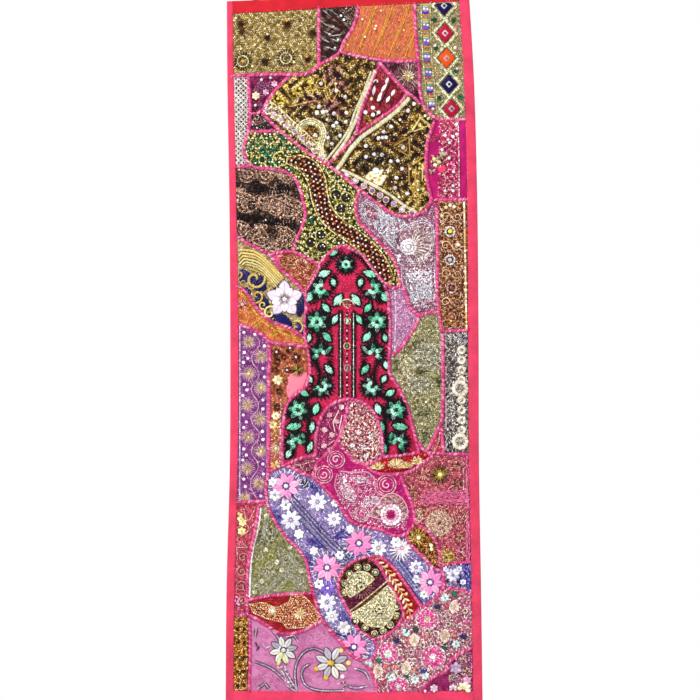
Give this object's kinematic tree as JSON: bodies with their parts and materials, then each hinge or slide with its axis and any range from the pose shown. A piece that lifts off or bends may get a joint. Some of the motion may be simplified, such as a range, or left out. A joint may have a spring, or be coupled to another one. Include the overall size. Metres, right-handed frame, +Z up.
{
  "type": "embroidered patchwork wall hanging",
  "caption": "Long upright patchwork wall hanging of embroidered cloth on a ground panel, bound on four sides with plain strips, hung by its top edge.",
  "frame": {"origin": "middle of the top edge of the top binding, where the hanging is held", "axes": "+X to the right seen from the front, -Y towards the viewer out of the embroidered face, +Z up along the hanging's length"},
  "size_m": [0.513, 0.0143, 1.423],
  "materials": {
    "ground_cloth": "plain woven cotton under patches of embroidered silk and brocade",
    "binding_cloth": "plain coral red cotton, matt with a soft nap",
    "patch_cloth": "silk, satin, net and brocade patches of many colours, woven with a soft sheen",
    "seam_cord": "twisted pink cotton cord couched along every seam",
    "metal_thread": "gold and silver coiled thread, worn and tarnished in places",
    "silk_floss": "glossy untwisted embroidery floss in satin and chain stitch",
    "bead_glass": "small round and tube beads, opaque and lustred",
    "sequin_film": "thin cupped sequins with a pearly or metallic coat"
  },
  "bodies": {
    "root": {"ground_panel": "ground_cloth", "binding_top": "binding_cloth", "binding_bottom": "binding_cloth", "binding_left": "binding_cloth", "binding_right": "binding_cloth"}
  },
  "joints": []
}
